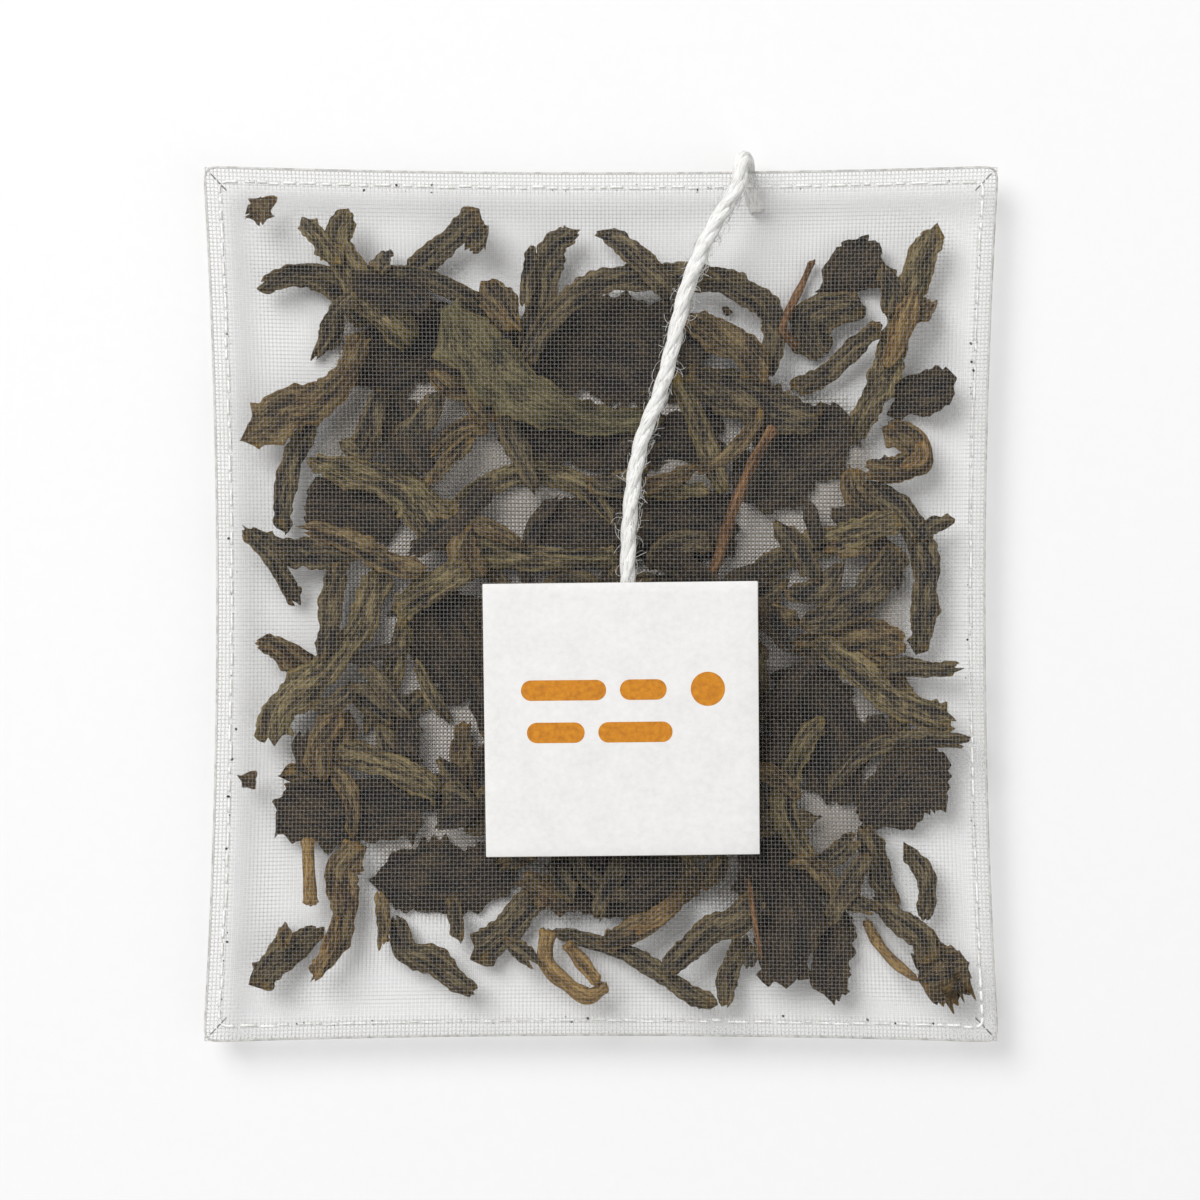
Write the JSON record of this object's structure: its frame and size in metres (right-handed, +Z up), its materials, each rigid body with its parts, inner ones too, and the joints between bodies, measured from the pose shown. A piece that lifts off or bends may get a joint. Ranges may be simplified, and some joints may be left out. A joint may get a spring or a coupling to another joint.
{
  "type": "tea bag",
  "caption": "Flat rectangular mesh tea bag with whole-leaf tea showing inside, a cotton string over its top edge and a square white card tag.",
  "frame": {"origin": "under the middle of the bag, on the surface it lies on", "axes": "+Z up out of the front panel, +Y towards the edge that the string goes over, +X to the right seen from the front"},
  "size_m": [0.0588, 0.0659, 0.008],
  "materials": {
    "woven mesh": "translucent monofilament weave",
    "cotton": "matte twisted",
    "card": "matte",
    "dark tea leaf": "dry wrinkled",
    "olive tea leaf": "dry wrinkled",
    "brown tea leaf": "dry wrinkled",
    "tea stem": "dry fibrous"
  },
  "bodies": {
    "root": {"back_panel": "woven mesh", "front_panel": "woven mesh", "broad_leaf_01": "dark tea leaf", "broad_leaf_02": "dark tea leaf", "broad_leaf_03": "dark tea leaf", "broad_leaf_04": "dark tea leaf", "broad_leaf_05": "dark tea leaf", "broad_leaf_06": "dark tea leaf", "broad_leaf_07": "dark tea leaf", "broad_leaf_08": "dark tea leaf", "broad_leaf_09": "dark tea leaf", "broad_leaf_10": "dark tea leaf", "broad_leaf_11": "dark tea leaf", "broad_leaf_12": "dark tea leaf", "broad_leaf_13": "dark tea leaf", "broad_leaf_14": "dark tea leaf", "broad_leaf_15": "dark tea leaf", "broad_leaf_16": "dark tea leaf", "crumb_01": "brown tea leaf", "dark_leaf_01": "dark tea leaf", "dark_leaf_02": "dark tea leaf", "dark_leaf_03": "dark tea leaf", "dark_leaf_04": "dark tea leaf", "dark_leaf_05": "dark tea leaf", "dark_leaf_06": "dark tea leaf", "dark_leaf_07": "dark tea leaf", "dark_leaf_08": "dark tea leaf", "dark_leaf_09": "dark tea leaf", "dark_leaf_10": "dark tea leaf", "dark_leaf_11": "dark tea leaf", "dark_leaf_12": "dark tea leaf", "dark_leaf_13": "dark tea leaf", "dark_leaf_14": "dark tea leaf", "dark_leaf_15": "dark tea leaf", "dark_leaf_16": "dark tea leaf", "dark_leaf_17": "dark tea leaf", "brown_leaf_01": "brown tea leaf", "brown_leaf_02": "brown tea leaf", "brown_leaf_03": "brown tea leaf", "brown_leaf_04": "brown tea leaf", "brown_leaf_05": "brown tea leaf", "brown_leaf_06": "brown tea leaf", "brown_leaf_07": "brown tea leaf", "brown_leaf_08": "brown tea leaf", "olive_leaf_01": "olive tea leaf", "olive_leaf_02": "olive tea leaf", "olive_leaf_03": "olive tea leaf", "olive_leaf_04": "olive tea leaf", "olive_leaf_05": "olive tea leaf", "olive_leaf_06": "olive tea leaf", "green_leaf_01": "olive tea leaf", "olive_leaf_07": "olive tea leaf", "olive_leaf_08": "olive tea leaf", "olive_leaf_09": "olive tea leaf", "olive_leaf_10": "olive tea leaf", "gold_stem_01": "tea stem", "gold_stem_02": "tea stem", "orange_stem_01": "tea stem", "string": "cotton", "tag": "card"}
  },
  "joints": []
}
